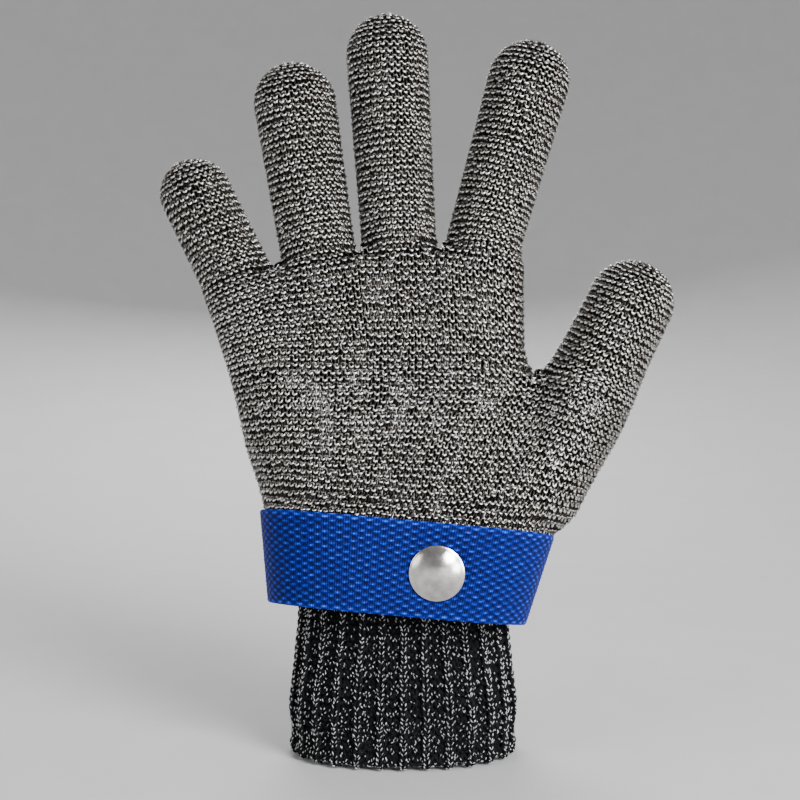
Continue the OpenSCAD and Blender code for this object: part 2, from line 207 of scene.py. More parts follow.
def ramp(x):
    """Zero over the palm, then growing toward the thumb, so that courses turn square to it."""
    d = x - RAMP_X
    return RAMP_SLOPE * (d + np.sqrt(d * d + RAMP_W ** 2)) / 2


def fall(x):
    """Zero over the palm, then growing toward the little finger's side."""
    return FALL * np.maximum(FALL_X - x, 0) ** 2


def away(x, places, reach):
    """0 at a crotch, rising to 1 away from all of them."""
    return 1 - sum(np.exp(-((x - place) / reach) ** 2) for place in places)


def level_value(p, c):
    """Zero where points lie on the level surface of their course."""
    x, y, z = p.T
    base = (c["height"] - c["strap"] * (STRAP_SLOPE * x + STRAP_PITCH * y)
            - c["bend"] * ramp(x) - c["sag"] * fall(x) + c["arch"] * np.polyval(ARCH, x)
            + c["thumb_room"] * away(x, [THUMB_GAP[0]], THUMB_REACH)
            + c["finger_room"] * away(x, [g[0] for g in GAPS], GAP_REACH))
    along = ((p - c["origin"]) * c["axis"]).sum(1)
    return c["up"] * (z - base) + c["across"] * along - c["level"]


STEP = 0.8  # length of a step along a course
LONGEST_MOVE = 3  # and of one while a point settles
MOST_STEPS = 520


def settle(p, c, rounds):
    """Moves points onto both the glove and their course's level surface."""
    for _ in range(rounds):
        s, f = glove_distance(p), level_value(p, c)
        gs, gf = gradient(glove_distance, p), gradient(lambda q: level_value(q, c), p)
        a, b, d = (gs * gs).sum(1), (gs * gf).sum(1), (gf * gf).sum(1)
        det = np.maximum(a * d - b * b, 1e-6)
        k1, k2 = (d * s - b * f) / det, (a * f - b * s) / det
        move = -(k1[:, None] * gs + k2[:, None] * gf)
        size = np.linalg.norm(move, axis=1, keepdims=True)
        p = p + move * np.minimum(1, LONGEST_MOVE / np.maximum(size, 1e-9))
    return p


def trace(courses, seeds):
    """The closed line of each course, as a list of point arrays: from its seed round the palm side."""
    c = {k: np.array([q[k] for q in courses], float) for k in courses[0]}
    p = settle(np.array(seeds, float), c, 12)
    start, path = p.copy(), [p.copy()]
    done = np.zeros(len(p), int)
    far = np.zeros(len(p), bool)
    live = np.arange(len(p))
    for n in range(1, MOST_STEPS):
        part = {k: v[live] for k, v in c.items()}
        q = p[live]
        out = gradient(glove_distance, q)
        up = gradient(lambda w: level_value(w, part), q)
        q = settle(q + STEP * unit(np.cross(up, out)), part, 1)
        p[live] = q
        path.append(p.copy())
        gap = np.linalg.norm(q - start[live], axis=1)
        far[live] |= gap > 2 * STEP
        closed = far[live] & (gap < 1.2 * STEP)
        done[live[closed]] = n
        live = live[~closed]
        if not len(live):
            break
    done[live] = len(path) - 1
    path = np.array(path)
    return [np.vstack([path[:done[i] + 1, i], start[i]]) for i in range(len(start))]


GRID_N = 192  # points kept round a course
FINE = 8  # finer points for each traced one, where a course is matched to the next
JOINED = 3  # courses whose wales carry straight on to a crotch, next to each
EASE = 5  # points over which their places are evened out


def even_points(line, count):
    """Points spread evenly by length round a closed line."""
    long = np.concatenate([[0], np.cumsum(np.linalg.norm(np.diff(line, axis=0), axis=1))])
    at = np.linspace(0, long[-1], count, endpoint=False)
    return np.stack([np.interp(at, long, line[:, c]) for c in range(3)], 1), long[-1]


def abreast(line, beside):
    """Points of a closed line opposite those of the course beside it."""
    fine = even_points(line, len(line) * FINE)[0]
    apart = ((beside[:, None, :] - fine[None, :, :]) ** 2).sum(2)
    even = np.arange(len(beside)) / len(beside)
    drift = (apart.argmin(1) / len(fine) - even + 0.5) % 1 - 0.5
    pad = np.concatenate([drift[-EASE:], drift, drift[:EASE]])
    eased = np.convolve(pad, np.full(EASE, 1 / EASE), "same")[EASE:-EASE]
    at = (even + eased) * len(fine)
    return np.stack([np.interp(at, np.arange(len(fine)), fine[:, c], period=len(fine)) for c in range(3)], 1)


def course_grid(lines, low_join, high_join):
    """A tube's grid from its courses' lines, and their lengths. Its points go round in step."""
    found = [even_points(line, GRID_N) for line in lines]
    points = [f[0] for f in found]
    if low_join:
        for i in range(JOINED - 1, -1, -1):
            points[i] = abreast(lines[i], points[i + 1])
    if high_join:
        for i in range(len(lines) - JOINED, len(lines)):
            points[i] = abreast(lines[i], points[i - 1])
    return np.array(points), np.array([f[1] for f in found])


FLAT = dict(height=0, strap=0, bend=0, sag=0, arch=0, thumb_room=0, finger_room=0, up=1, across=0, level=0,
            axis=(0, 0, 1), origin=(0, 0, 0))


def course(**values):
    """A course's level surface: a flat one but for these values."""
    return {**FLAT, **values}


def smooth_step(t):
    t = np.clip(t, 0, 1)
    return t * t * (3 - 2 * t)


# The lower hand goes up to the line of the thumb's crotch, and the palm from there to the fingers'
LOW_START = 49.0
THUMB_LINE = THUMB_GAP[1] + float(ramp(THUMB_GAP[0]))
LOW_ROWS = round((THUMB_LINE - LOW_START) / LOW_COURSE)
PALM_ROWS = 15
LEVEL_BY, BENT_BY = 1.15, 1.1  # how much sooner the strap's slope is gone and the thumb's bend is there


def lower_courses():
    """From the strap's slope to the line of the thumb's crotch, whose bend is reached a little early."""
    rows = []
    for i in range(LOW_ROWS + 1):
        v = i / LOW_ROWS
        up = v + DRAWN * v * (1 - v)
        rows.append(course(height=LOW_START + (THUMB_LINE - NEAR - LOW_START) * up,
                           strap=1 - smooth_step(v * LEVEL_BY), bend=smooth_step(v * BENT_BY), sag=v * v,
                           thumb_room=-ROOM * v))
    return rows


def palm_courses():
    """From the line of the thumb's crotch to that of the fingers'."""
    rows = []
    for i in range(PALM_ROWS + 1):
        w = i / PALM_ROWS
        rows.append(course(height=(THUMB_LINE + NEAR) * (1 - w) - NEAR * w, bend=1 - w, sag=1 - w, arch=w,
                           thumb_room=ROOM * (1 - w), finger_room=-ROOM * w))
    return rows


DOME_END = math.radians(85.5)  # how far round the fingertip the last course lies


def tip_levels(straight, r):
    """Levels along a finger at even steps of its surface, over the straight part and the dome."""
    n = round((straight - NEAR) / COURSE)
    levels = [NEAR + (straight - NEAR) * i / n for i in range(n + 1)]
    turns = round(r * DOME_END / COURSE)
    return levels + [straight + r * math.sin(DOME_END * (j + 1) / turns) for j in range(turns)]


def digit_courses(origin, axis, long, r_tip, turn, back, room, **base):
    """A digit's courses, and where they are traced from. They start along the crotch line and turn
    square to the digit's axis."""
    rows, seeds = [], []
    for level in tip_levels(long, r_tip):
        b = float(smooth_step((level - NEAR) / turn))
        rows.append(course(up=1 - b, across=b, axis=axis, origin=origin, level=level,
                           **{room: ROOM * (1 - b)}, **base))
        seeds.append(origin + axis * level + np.array([0, back, 0]))
    return rows, seeds


# ---------- knitting
LOOP_STEPS = 14  # points along one loop
ENDS = 2  # rows that with_ends adds at each end
FLATTENED = 0.16  # how much wider than deep a wire is
# How much a loop's lift, place along the course, height and place up the cloth vary
LIFT_VARIES, SIDE_VARIES, TALL_VARIES, UP_VARIES = 0.12, 0.075, 0.07, 0.07
KNIT_PAINTED_LIGHT, PAINTED_LIGHT_BY_HEIGHT, PAINTED_LIGHT_BY_FACING = 0.32, 0.25, 0.42  # a point's painted light and shade, what its height in the cloth adds (painted highlight on the raised arcs, painted shade deep in the knit), and what its facing adds (painted highlight on a wire's outer side, painted shade on its inner side)
THREAD_PAINTED_LIGHT, THREAD_PAINTED_FACING = 0.5, 0.3  # the same painted light and shade for sewn and drawn threads, lighter on their outer side
SEEDS_APART = 1000  # between the random numbers of one tube and the next


def on_grid(grid, u, v):
    """Catmull-Rom point of a grid of rows, closed along u in 0 to 1, at row v."""
    rows, n = grid.shape[:2]

    def weights(t):
        return [-0.5 * t + t * t - 0.5 * t ** 3, 1 - 2.5 * t * t + 1.5 * t ** 3,
                0.5 * t + 2 * t * t - 1.5 * t ** 3, -0.5 * t * t + 0.5 * t ** 3]
    s = u * n
    i, j = np.floor(s).astype(int), np.clip(np.floor(v).astype(int), 1, rows - 3)
    wu, wv = weights(s - i), weights(v - j)
    total = 0
    for a in range(4):
        for b in range(4):
            total = total + (wv[a] * wu[b])[:, None] * grid[j + a - 1, (i + b - 1) % n]
    return total


def with_ends(grid):
    """A tube's grid with more rows at each end, carried on straight."""
    low, high = grid[0] - grid[1], grid[-1] - grid[-2]
    below = [grid[0] + k * low for k in range(ENDS, 0, -1)]
    above = [grid[-1] + k * high for k in range(1, ENDS + 1)]
    return np.concatenate([below, grid, above])


def tube(centre, radius, sides, out, twist=0.0, closed=True):
    """Vertices of a round wire along a closed or open line, flattened a little and twisted."""
    if closed:
        ahead, behind = np.roll(centre, -1, 0), np.roll(centre, 1, 0)
    else:
        ahead = np.vstack([centre[1:], centre[-1:]])
        behind = np.vstack([centre[:1], centre[:-1]])
    t = unit(ahead - behind)
    a = unit(out - (out * t).sum(1, keepdims=True) * t)
    b = np.cross(t, a)
    n = len(centre)
    angle = 2 * math.pi * np.arange(sides) / sides
    turn = twist * np.arange(n)[:, None] + angle
    wide = 1 + FLATTENED * np.cos(2 * angle)
    ring = np.cos(turn)[..., None] * a[:, None] + np.sin(turn)[..., None] * b[:, None]
    verts = centre[:, None] + np.asarray(radius).reshape(-1, 1, 1) * wide[..., None] * ring
    return verts.reshape(-1, 3), np.cos(turn).ravel()


def tube_faces(n, sides, closed=True):
    """The faces between the rings of such a wire."""
    i = np.arange(n if closed else n - 1)[:, None]
    k = np.arange(sides)[None, :]
    j, m = (i + 1) % n, (k + 1) % sides
    quads = np.stack([i * sides + k, i * sides + m, j * sides + m, j * sides + k], -1)
    return quads.reshape(-1, 4)


def add_object(name, data):
    obj = bpy.data.objects.new(name, data)
    bpy.context.scene.collection.objects.link(obj)
    return obj


def mesh_object(name, verts, quads, painted_light_tint, material, **stored):
    """A mesh piece from arrays in millimetres. The painted light and shade of each point is kept with it: 0
    is painted shade deep in the cloth.
    """
    me = bpy.data.meshes.new(name)
    me.vertices.add(len(verts))
    me.vertices.foreach_set("co", (verts * MM).astype(np.float32).ravel())
    quads = quads.astype(np.int32)
    me.loops.add(quads.size)
    me.loops.foreach_set("vertex_index", quads.ravel())
    me.polygons.add(len(quads))
    me.polygons.foreach_set("loop_start", np.arange(0, quads.size, quads.shape[1], dtype=np.int32))
    me.update(calc_edges=True)
    me.validate()
    me.polygons.foreach_set("use_smooth", np.full(len(quads), True))
    for key, values in {"painted_light_tint": painted_light_tint, **stored}.items():
        me.attributes.new(key, "FLOAT", "POINT").data.foreach_set("value", values.astype(np.float32))
    me.materials.append(material)
    return add_object(name, me)


def joined(parts):
    """Vertices, faces and painted light and shade of several parts as one."""
    verts, faces, painted_light_tints, first = [], [], [], 0
    for v, f, t in parts:
        verts.append(v)
        faces.append(f + first)
        painted_light_tints.append(t)
        first += len(v)
    return np.vstack(verts), np.vstack(faces), np.concatenate(painted_light_tints)


# How a tube is knitted: a loop's swing in wales, its reach in courses and its lift in mm, how much
# more its feet lift than its heads, the depth of the valleys between ribs, the unevenness, and the
# yarn's radius, sides and twist. On a rib, one wale in three shows its legs and two their feet.
Yarn = namedtuple("Yarn", "swing reach lift feet valley uneven radius sides twist")
WIRE = Yarn(0.13, 0.79, 0.31, feet=0.45, valley=0, uneven=1.3, radius=WIRE_R, sides=5, twist=0.45)
RIB = Yarn(0.17, 0.80, 0.42, feet=0, valley=0.95, uneven=1.0, radius=0.60, sides=6, twist=0.35)
RIB_EVERY, RIB_FLAT, RIB_SIDE = 3, 0.35, 0.5  # wales to a rib, half its top's width and its side's


def rib_share(u):
    """1 on a knit wale of the rib, 0 on the purl wales between; u is in wales."""
    d = np.abs((u + RIB_EVERY / 2) % RIB_EVERY - RIB_EVERY / 2)
    return 1 - smooth_step((d - RIB_FLAT) / RIB_SIDE)


def spread(values):
    """One value per loop, eased from loop to loop along the yarn."""
    long = np.repeat(values, LOOP_STEPS, axis=0)
    pad = np.concatenate([long[-LOOP_STEPS:], long, long[:LOOP_STEPS]])
    total = np.cumsum(np.concatenate([np.zeros((1, long.shape[1])), pad]), axis=0)
    eased = (total[LOOP_STEPS:] - total[:-LOOP_STEPS]) / LOOP_STEPS
    first = LOOP_STEPS // 2
    return eased[first:first + len(long)]


def knit_course(grid, normals, row, columns, phase, seed, yarn):
    """The line of one course on a tube's grid, the way out of the cloth, and the height in it."""
    t = np.arange(columns * LOOP_STEPS) / LOOP_STEPS * 2 * math.pi
    u = t / (2 * math.pi) + yarn.swing * np.sin(2 * t)
    v = yarn.reach * np.cos(t)
    rib = rib_share(u) if yarn.valley else 0
    w = (np.cos(2 * t) - yarn.feet * np.cos(t)) * (1 - 2 * rib)
    r = np.random.default_rng(seed * SEEDS_APART + row)
    soft = yarn.uneven * spread(r.normal(0, 1, (columns, 4)))
    w = yarn.lift * w * (1 + LIFT_VARIES * soft[:, 3]) - yarn.valley * (1 - rib)
    u = (u + phase + SIDE_VARIES * soft[:, 0]) / columns
    v = ENDS + row + v * (1 + TALL_VARIES * soft[:, 1]) + UP_VARIES * soft[:, 2]
    p = on_grid(grid, u, v)
    n = unit(on_grid(normals, u, v))
    return p + w[:, None] * n, n, w


def thread_part(centre, radius, sides, out, closed=True):
    """A thread along a line: its vertices, faces and painted light and shade."""
    verts, facing = tube(centre, radius, sides, out, closed=closed)
    # painted highlight on a thread's outer side, painted shade on its inner side
    return verts, tube_faces(len(centre), sides, closed), THREAD_PAINTED_LIGHT + THREAD_PAINTED_FACING * facing


def knit(name, cloth, counts, first, last, phase, seed, yarn, material):
    """A piece of knitted cloth: the courses from first to last of a tube."""
    grid, normals = cloth
    parts = []
    for row in range(first, last):
        line, out, high = knit_course(grid, normals, row, counts[row], phase, seed, yarn)
        verts, facing = tube(line, yarn.radius, yarn.sides, out, twist=yarn.twist)
        height = np.repeat(high / yarn.lift, yarn.sides)
        # painted shade and highlight: darker deep in the cloth and on a wire's inner side, lighter on the
        # raised arcs and on the wire's outer side
        painted_light_tint = KNIT_PAINTED_LIGHT + PAINTED_LIGHT_BY_HEIGHT * height + PAINTED_LIGHT_BY_FACING * facing * np.abs(facing)
        parts.append((verts, tube_faces(len(line), yarn.sides), painted_light_tint))
    return mesh_object(name, *joined(parts), material)


def cloth_of(grid, inset, normals=None):
    """A tube's grid moved into the middle of the cloth, with its normals, both carried on at the ends."""
    if normals is None:
        normals = np.cross(np.roll(grid, -1, 1) - np.roll(grid, 1, 1), np.gradient(grid, axis=0))
    normals = unit(normals)
    padded = np.concatenate([[normals[0]] * ENDS, normals, [normals[-1]] * ENDS])
    return with_ends(grid - inset * normals), padded


# ---------- materials
class Shader:
    """A small helper that wires a procedural material."""

    def __init__(self, name):
        self.mat = bpy.data.materials.new(name)
        self.mat.use_nodes = True
        self.tree = self.mat.node_tree
        self.bsdf = self.tree.nodes["Principled BSDF"]

    def node(self, kind, **values):
        n = self.tree.nodes.new(kind)
        for key, value in values.items():
            if hasattr(n, key):
                setattr(n, key, value)
            else:
                n.inputs[key.replace("_", " ")].default_value = value
        return n

    def link(self, a, b):
        self.tree.links.new(a, b)

    def set(self, **values):
        for key, value in values.items():
            self.bsdf.inputs[key.replace("_", " ")].default_value = value

    def feed(self, socket, factor, stops):
        """Gives the surface's socket the colours that a texture picks from a ramp."""
        self.link(self.colours(factor, stops), self.bsdf.inputs[socket])

    def noise(self, scale, detail=3.0):
        coord = self.node("ShaderNodeTexCoord")
        n = self.node("ShaderNodeTexNoise", Scale=scale, Detail=detail, Roughness=0.6)
        self.link(coord.outputs["Object"], n.inputs["Vector"])
        return n.outputs["Fac"]

    def stored(self, name):
        return self.node("ShaderNodeAttribute", attribute_name=name).outputs["Fac"]

    def math(self, operation, *values):
        """A math node of numbers and other nodes' outputs."""
        n = self.node("ShaderNodeMath", operation=operation)
        for socket, value in zip(n.inputs, values):
            if isinstance(value, (int, float)):
                socket.default_value = value
            else:
                self.link(value, socket)
        return n.outputs[0]

    def wave(self, place, length):
        """A cosine of a place that repeats with a length."""
        return self.math("COSINE", self.math("MULTIPLY", place, 2 * math.pi / length))

    def with_painted_light(self, factor, share):
        """The piece's stored painted light and shade, with some of a texture added."""
        return self.math("ADD", self.stored("painted_light_tint"), self.math("MULTIPLY_ADD", factor, share, -share / 2))

    def colours(self, factor, stops):
        """Colours at places from 0 to 1, and those between them."""
        n = self.node("ShaderNodeValToRGB")
        marks = n.color_ramp.elements
        for mark, (at, colour) in ((marks[0], stops[0]), (marks[1], stops[-1])):
            mark.position = at
            mark.color = (*colour, 1)
        for at, colour in stops[1:-1]:
            marks.new(at).color = (*colour, 1)
        self.link(factor, n.inputs["Fac"])
        return n.outputs["Color"]

    def bump(self, factor, strength, distance):
        b = self.node("ShaderNodeBump", Strength=strength, Distance=distance)
        self.link(factor, b.inputs["Height"])
        self.link(b.outputs["Normal"], self.bsdf.inputs["Normal"])


def grey(v, warm=0.0):
    """A grey, or one that is a share warmer."""
    return (v * (1 + warm), v, v * (1 - warm))


def steel_wire():
    s = Shader("steel_wire")
    # the colour follows the stored painted light and shade: near black for painted shade deep in the knit
    # and on the wires' inner sides, pale for painted highlights on the raised arcs; the noise adds uneven
    # tone
    painted_tone = s.with_painted_light(s.noise(700, 5), 0.7)
    s.feed("Base Color", painted_tone, [(0.28, grey(0.010, 0.15)), (0.52, grey(0.06, 0.12)),
                                (0.74, grey(0.29, 0.05)), (0.97, grey(0.82, 0.02))])
    s.feed("Roughness", s.noise(2500), [(0.3, grey(0.22)), (0.75, grey(0.42))])
    s.set(Metallic=1.0)
    s.bump(s.noise(5200, 2), 0.5, 0.0001)
    return s.mat


def noisy(name, scale, detail, stops, bump, **values):
    """A material whose colour comes from a noise, and its bumps from another: bump has that one's
    scale and detail, and the bumps' strength and distance."""
    s = Shader(name)
    s.feed("Base Color", s.noise(scale, detail), stops)
    s.set(**values)
    s.bump(s.noise(*bump[:2]), *bump[2:])
    return s


def nickel():
    s = noisy("nickel_plate", 420, 5, [(0.35, grey(0.5, 0.04)), (0.7, grey(0.72, 0.03))],
              bump=(1400, 6, 0.25, 0.0001), Metallic=1.0)
    s.feed("Roughness", s.noise(160, 6), [(0.35, grey(0.13)), (0.75, grey(0.28))])
    return s.mat


def thread(name, dark, light):
    return noisy(name, 2200, 4, [(0.35, dark), (0.7, light)], bump=(5000, 2, 0.5, 0.0002), Roughness=0.7).mat


WEAVE_LONG, WEAVE_WIDE, WEAVE_HIGH = 4.3, 2.25, 0.30  # the webbing's repeats, and their height


def blue_webbing():
    """Woven webbing. Its yarns follow the places along and across the tape that the mesh stores."""
    s = Shader("blue_webbing")
    along, across = s.stored("along"), s.stored("across")
    floats = s.math("MULTIPLY", s.wave(along, WEAVE_LONG), s.wave(across, WEAVE_WIDE))
    yarns = s.math("MULTIPLY", s.wave(across, WEAVE_WIDE / 2), 0.14)
    strands = s.math("MULTIPLY", s.wave(along, WEAVE_LONG / 6), 0.22)
    height = s.math("ADD", s.math("ADD", s.math("MULTIPLY", floats, 0.42), yarns), strands)
    # the colour follows the stored painted light and shade, and the raised yarns of the weave get a further
    # painted highlight; the noise adds uneven tone
    painted_tone = s.with_painted_light(s.noise(1500, 6), 0.75)
    painted_tone = s.math("ADD", painted_tone, s.math("MULTIPLY", height, 0.30))
    s.feed("Base Color", painted_tone, [(0.15, (0.0, 0.001, 0.03)), (0.45, (0.0003, 0.006, 0.13)),
                                (0.70, (0.001, 0.022, 0.36)), (1.0, (0.05, 0.14, 0.85))])
    s.set(Roughness=0.5, Specular_IOR_Level=0.1)
    s.bump(height, 0.8, 0.00035)
    return s.mat


STEEL = steel_wire()
NICKEL = nickel()
BLACK = noisy("black_yarn", 1500, 5, [(0.4, (0.0012, 0.0015, 0.002)), (0.62, (0.007, 0.008, 0.01)),
                                      (0.8, (0.04, 0.044, 0.05))],
              bump=(4200, 4, 0.9, 0.0002), Roughness=0.9, Specular_IOR_Level=0.15).mat
FLECK = noisy("yarn_steel", 700, 3, [(0.3, grey(0.25)), (0.7, grey(0.85))],
              bump=(5000, 2, 0.4, 0.0001), Metallic=0.85, Roughness=0.38).mat
BLUE = blue_webbing()
BLUE_THREAD = thread("blue_thread", (0.0005, 0.004, 0.06), (0.004, 0.03, 0.3))
GREY_THREAD = thread("overlock_thread", (0.01, 0.02, 0.035), (0.06, 0.11, 0.17))
ELASTIC = thread("covered_elastic", (0.004, 0.004, 0.005), (0.03, 0.03, 0.032))


# ---------- camera, floor and light
SENSOR = 36  # width of the camera's sensor
CAMERA_PLACE = (-0.001, -0.38, 0.113)
VIEW_WIDE = 0.2608  # width of what the camera sees at the glove's middle plane


def setup_camera():
    data = bpy.data.cameras.new("camera")
    data.sensor_width = SENSOR
    data.lens = SENSOR * -CAMERA_PLACE[1] / VIEW_WIDE
    data.clip_start = 0.01
    cam = add_object("camera", data)
    cam.location = CAMERA_PLACE
    cam.rotation_euler = (math.radians(90), 0, 0)
    bpy.context.scene.camera = cam


TURNED_SIDES = 96


def turned(name, profile, place, material):
    """A surface turned about an axis. Its profile has radii and heights from the pole out, and
    place gives where a point across and along the axis is."""
    n = TURNED_SIDES
    turn = 2 * math.pi * np.arange(n) / n
    verts = [place(r * math.cos(a), r * math.sin(a), h) for r, h in profile[1:] for a in turn]
    verts.append(place(0, 0, profile[0][1]))
    faces = [(i * n + k, i * n + (k + 1) % n, (i + 1) * n + (k + 1) % n, (i + 1) * n + k)
             for i in range(len(profile) - 2) for k in range(n)]
    faces += [(len(verts) - 1, (k + 1) % n, k) for k in range(n)]
    me = bpy.data.meshes.new(name)
    me.from_pydata(verts, [], faces)
    for poly in me.polygons:
        poly.use_smooth = True
    me.materials.append(material)
    return add_object(name, me)


FLOOR_REACH, FLOOR_BEND, WALL_TOP, FLOOR_RINGS = 0.35, 1.5, 2.2, 36
FLOOR_Z = -0.0005


def setup_stage():
    """A pale floor under the cuff that curves up into a backdrop, all the way round."""
    s = Shader("pale_floor")
    s.feed("Base Color", s.noise(30, 2), [(0.3, grey(0.60)), (0.7, grey(0.62))])
    s.set(Roughness=0.9)
    profile = [(0, 0)]
    for a in np.linspace(0, math.pi / 2, FLOOR_RINGS):
        profile.append((FLOOR_REACH + FLOOR_BEND * math.sin(a), FLOOR_BEND * (1 - math.cos(a))))
    profile.append((FLOOR_REACH + FLOOR_BEND, WALL_TOP))
    floor = turned("floor", profile, lambda x, y, h: (x, y, h), s.mat)
    floor.location.z = FLOOR_Z


WORLD_LIGHT = 0.30
LIT = (0, 0, 0.12)  # the place that the lamps face


def area_light(name, place, size, power):
    data = bpy.data.lights.new(name, "AREA")
    data.shape = "DISK"
    data.size = size
    data.energy = power
    lamp = add_object(name, data)
    lamp.location = place
    lamp.rotation_euler = (Vector(LIT) - Vector(place)).to_track_quat("-Z", "Y").to_euler()


def setup_light():
    world = bpy.data.worlds.new("world")
    bpy.context.scene.world = world
    world.use_nodes = True
    background = world.node_tree.nodes["Background"].inputs
    background["Color"].default_value = (1, 1, 1, 1)
    background["Strength"].default_value = WORLD_LIGHT
    area_light("key", (0.55, -0.75, 0.55), size=0.45, power=15)
    area_light("side", (0.5, -0.45, 0.14), size=0.24, power=2.5)
    area_light("fill", (-0.8, -0.5, 0.45), size=0.6, power=3)
    area_light("back", (-0.1, 0.8, 0.7), size=0.6, power=8)


setup_camera()
setup_stage()
setup_light()


# ---------- the knitted hand
LOWER_WALES, PALM_WALES = 126, 107
LOWER_PIECES, PALM_PIECES = 3, 2
FEWEST_WALES, FULL_SHARE = 5, 0.8  # a digit's courses have all wales down to this share of its girth
FINGER_TURN, THUMB_TURN = 26, 8  # how far up it its courses take to turn square to it
# Roughly where the courses are traced from: at the side of the hand, and at the back of the digits
LOW_SIDE, PALM_SIDE, SEED_UP, SEED_DOWN, FINGER_BACK, THUMB_BACK = -60, -62, 3, 8, 15, 19
HALF_WALE = 0.5
LOWER_SEED, PALM_SEED, FINGER_SEED, THUMB_SEED = 11, 12, 20, 30


def arch_start(root, axis):
    """How far up its axis a finger crosses the line of the crotches."""
    start = 0.0
    for _ in range(8):
        start = (np.polyval(ARCH, root[0] + start * axis[0]) - root[1]) / axis[2]
    return start


def hand_grids():
    """The courses of each tube of the hand, and its grid of points with its courses' lengths."""
    low, palm = lower_courses(), palm_courses()
    crotch_height = GAPS[0][1] - SEED_DOWN
    tubes = {"low": (low, [(LOW_SIDE, 0, c["height"] + SEED_UP) for c in low]),
             "palm": (palm, [(PALM_SIDE, 0, c["height"] + c["arch"] * crotch_height) for c in palm])}
    for name, (root, tilt, _, long, _, r_tip) in FINGERS.items():
        axis = axis_of(tilt, LEAN)
        start = arch_start(root, axis)
        tubes[name] = digit_courses(finger_root(root) + start * axis, axis, long - start, r_tip,
                                    FINGER_TURN, FINGER_BACK, "finger_room", arch=1)
    # The thumb's own courses start at the line of its crotch, at right angles to its axis
    line_x = THUMB_ROOT[0]
    base = np.array([line_x, THUMB_ROOT[1], THUMB_LINE - float(ramp(line_x))])
    long = (THUMB_ROOT + THUMB_LONG * THUMB_AXIS - base) @ THUMB_AXIS
    tubes["thumb"] = digit_courses(base, THUMB_AXIS, long, THUMB_TIP_R, THUMB_TURN, THUMB_BACK,
                                   "thumb_room", height=THUMB_LINE, bend=1)
    lines = trace([c for rows, _ in tubes.values() for c in rows],
                  [seed for _, seeds in tubes.values() for seed in seeds])
    grids, at = {}, 0
    for name, (rows, _) in tubes.items():
        grids[name] = course_grid(lines[at:at + len(rows)], name != "low", name in ("low", "palm"))
        at += len(rows)
    return {name: rows for name, (rows, _) in tubes.items()}, grids


def knit_tube(name, cloth, rows, wales, pieces, seed):
    """A tube of one number of wales that rides the hand, in pieces of much the same length."""
    ends = [round(k * rows / pieces) for k in range(pieces + 1)]
    made = []
    for k in range(pieces):
        piece = knit(f"knit_{name}_{k + 1}", cloth, [wales] * rows, ends[k], ends[k + 1],
                     0, seed, WIRE, STEEL)
        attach(piece, "hand")
        made.append(piece)
    return made


def knit_digit(name, rows, longs, cloth, knuckles, shift, bodies, seed):
    """One finger's knit, in a piece for each knuckle."""
    girth = np.median(longs)
    counts = [round(girth / WALE) if q > FULL_SHARE * girth else max(FEWEST_WALES, round(q / WALE))
              for q in longs]
    levels = np.array([c["level"] for c in rows]) + shift
    ends = [(a + b) / 2 for a, b in zip(knuckles, knuckles[1:])] + [math.inf]
    begin = 0
    for k, end in enumerate(ends):
        last = int(np.sum(levels < end))
        piece = knit(f"knit_{name}_{k + 1}", cloth, counts, begin, last, HALF_WALE, seed, WIRE, STEEL)
        begin = last
        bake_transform(piece)
        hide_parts(bodies[k + 1])


def knit_hand():
    courses, grids = hand_grids()
    cloths = {}
    for name, (points, _) in grids.items():
        normals = gradient(glove_distance, points.reshape(-1, 3)).reshape(points.shape)
        cloths[name] = cloth_of(points, MESH_T / 2, normals)
    lower = knit_tube("hand", cloths["low"], LOW_ROWS + 1, LOWER_WALES, LOWER_PIECES, LOWER_SEED)
    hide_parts("hand_mesh")
    knit_tube("palm", cloths["palm"], PALM_ROWS + 1, PALM_WALES, PALM_PIECES, PALM_SEED)
    for k, (name, (root, tilt, knuckles, _, _, _)) in enumerate(FINGERS.items()):
        axis = axis_of(tilt, LEAN)
        bodies = ["hand", f"{name}_lower", f"{name}_middle", f"{name}_tip"]
        knit_digit(name, courses[name], grids[name][1], cloths[name],
                   knuckles, arch_start(root, axis), bodies, FINGER_SEED + k)
    shift = (np.array(courses["thumb"][0]["origin"]) - THUMB_ROOT) @ THUMB_AXIS
    knit_digit("thumb", courses["thumb"], grids["thumb"][1], cloths["thumb"],
               THUMB_KNUCKLES, shift, ["hand", "thumb_lower", "thumb_tip"], THUMB_SEED)


knit_hand()


# ---------- the ribbed cuff
# Height, half width and half depth
CUFF = np.array([[4.5, 35.5, 24.8], [14, 37.2, 25.8], [28, 35.6, 23.4], [40, 34.4, 21.2], [63, 33, 20]])
CUFF_POWER, CUFF_T, HEM_R, CUFF_N = 2.3, 1.8, 2.2, 720
HEM_FADES, HEM_TURNS = 9, 4  # how far up the hem's bead fades out, and the rings round the hem
RIB_COURSE, RIB_WALES, RIB_IN, RIB_SEED = 2.8, 84, 0.95, 41
FLECKS_A_WALE = 8
FLECK_SHOWS, FLECK_LOW = (0.25, 0.88), (-1.9, 0.55)  # above a height, the share that shows
FLECK_STEPS = np.array([-0.55, -0.4, 0, 0.4, 0.55])  # a fleck's length along the yarn, in steps
FLECK_R = np.array([0.02, 0.18, 0.24, 0.18, 0.02])  # its radius there
FLECK_LEAN = 0.27  # and its lean across the yarn, which makes the V of a knit stitch
FLECK_OUT = 0.95  # its place, as a share of the yarn's radius
FLECK_STRAYS, FLECK_SLANTS, FLECK_LENGTHS, FLECK_WIDTHS = 0.25, 0.15, (0.8, 1.2), (0.7, 1.15)
COIL_STEPS = 12  # points in a turn of a coil
OVERLOCK_R, OVERLOCK_THREAD, OVERLOCK_TURNS = 0.8, 0.28, 110
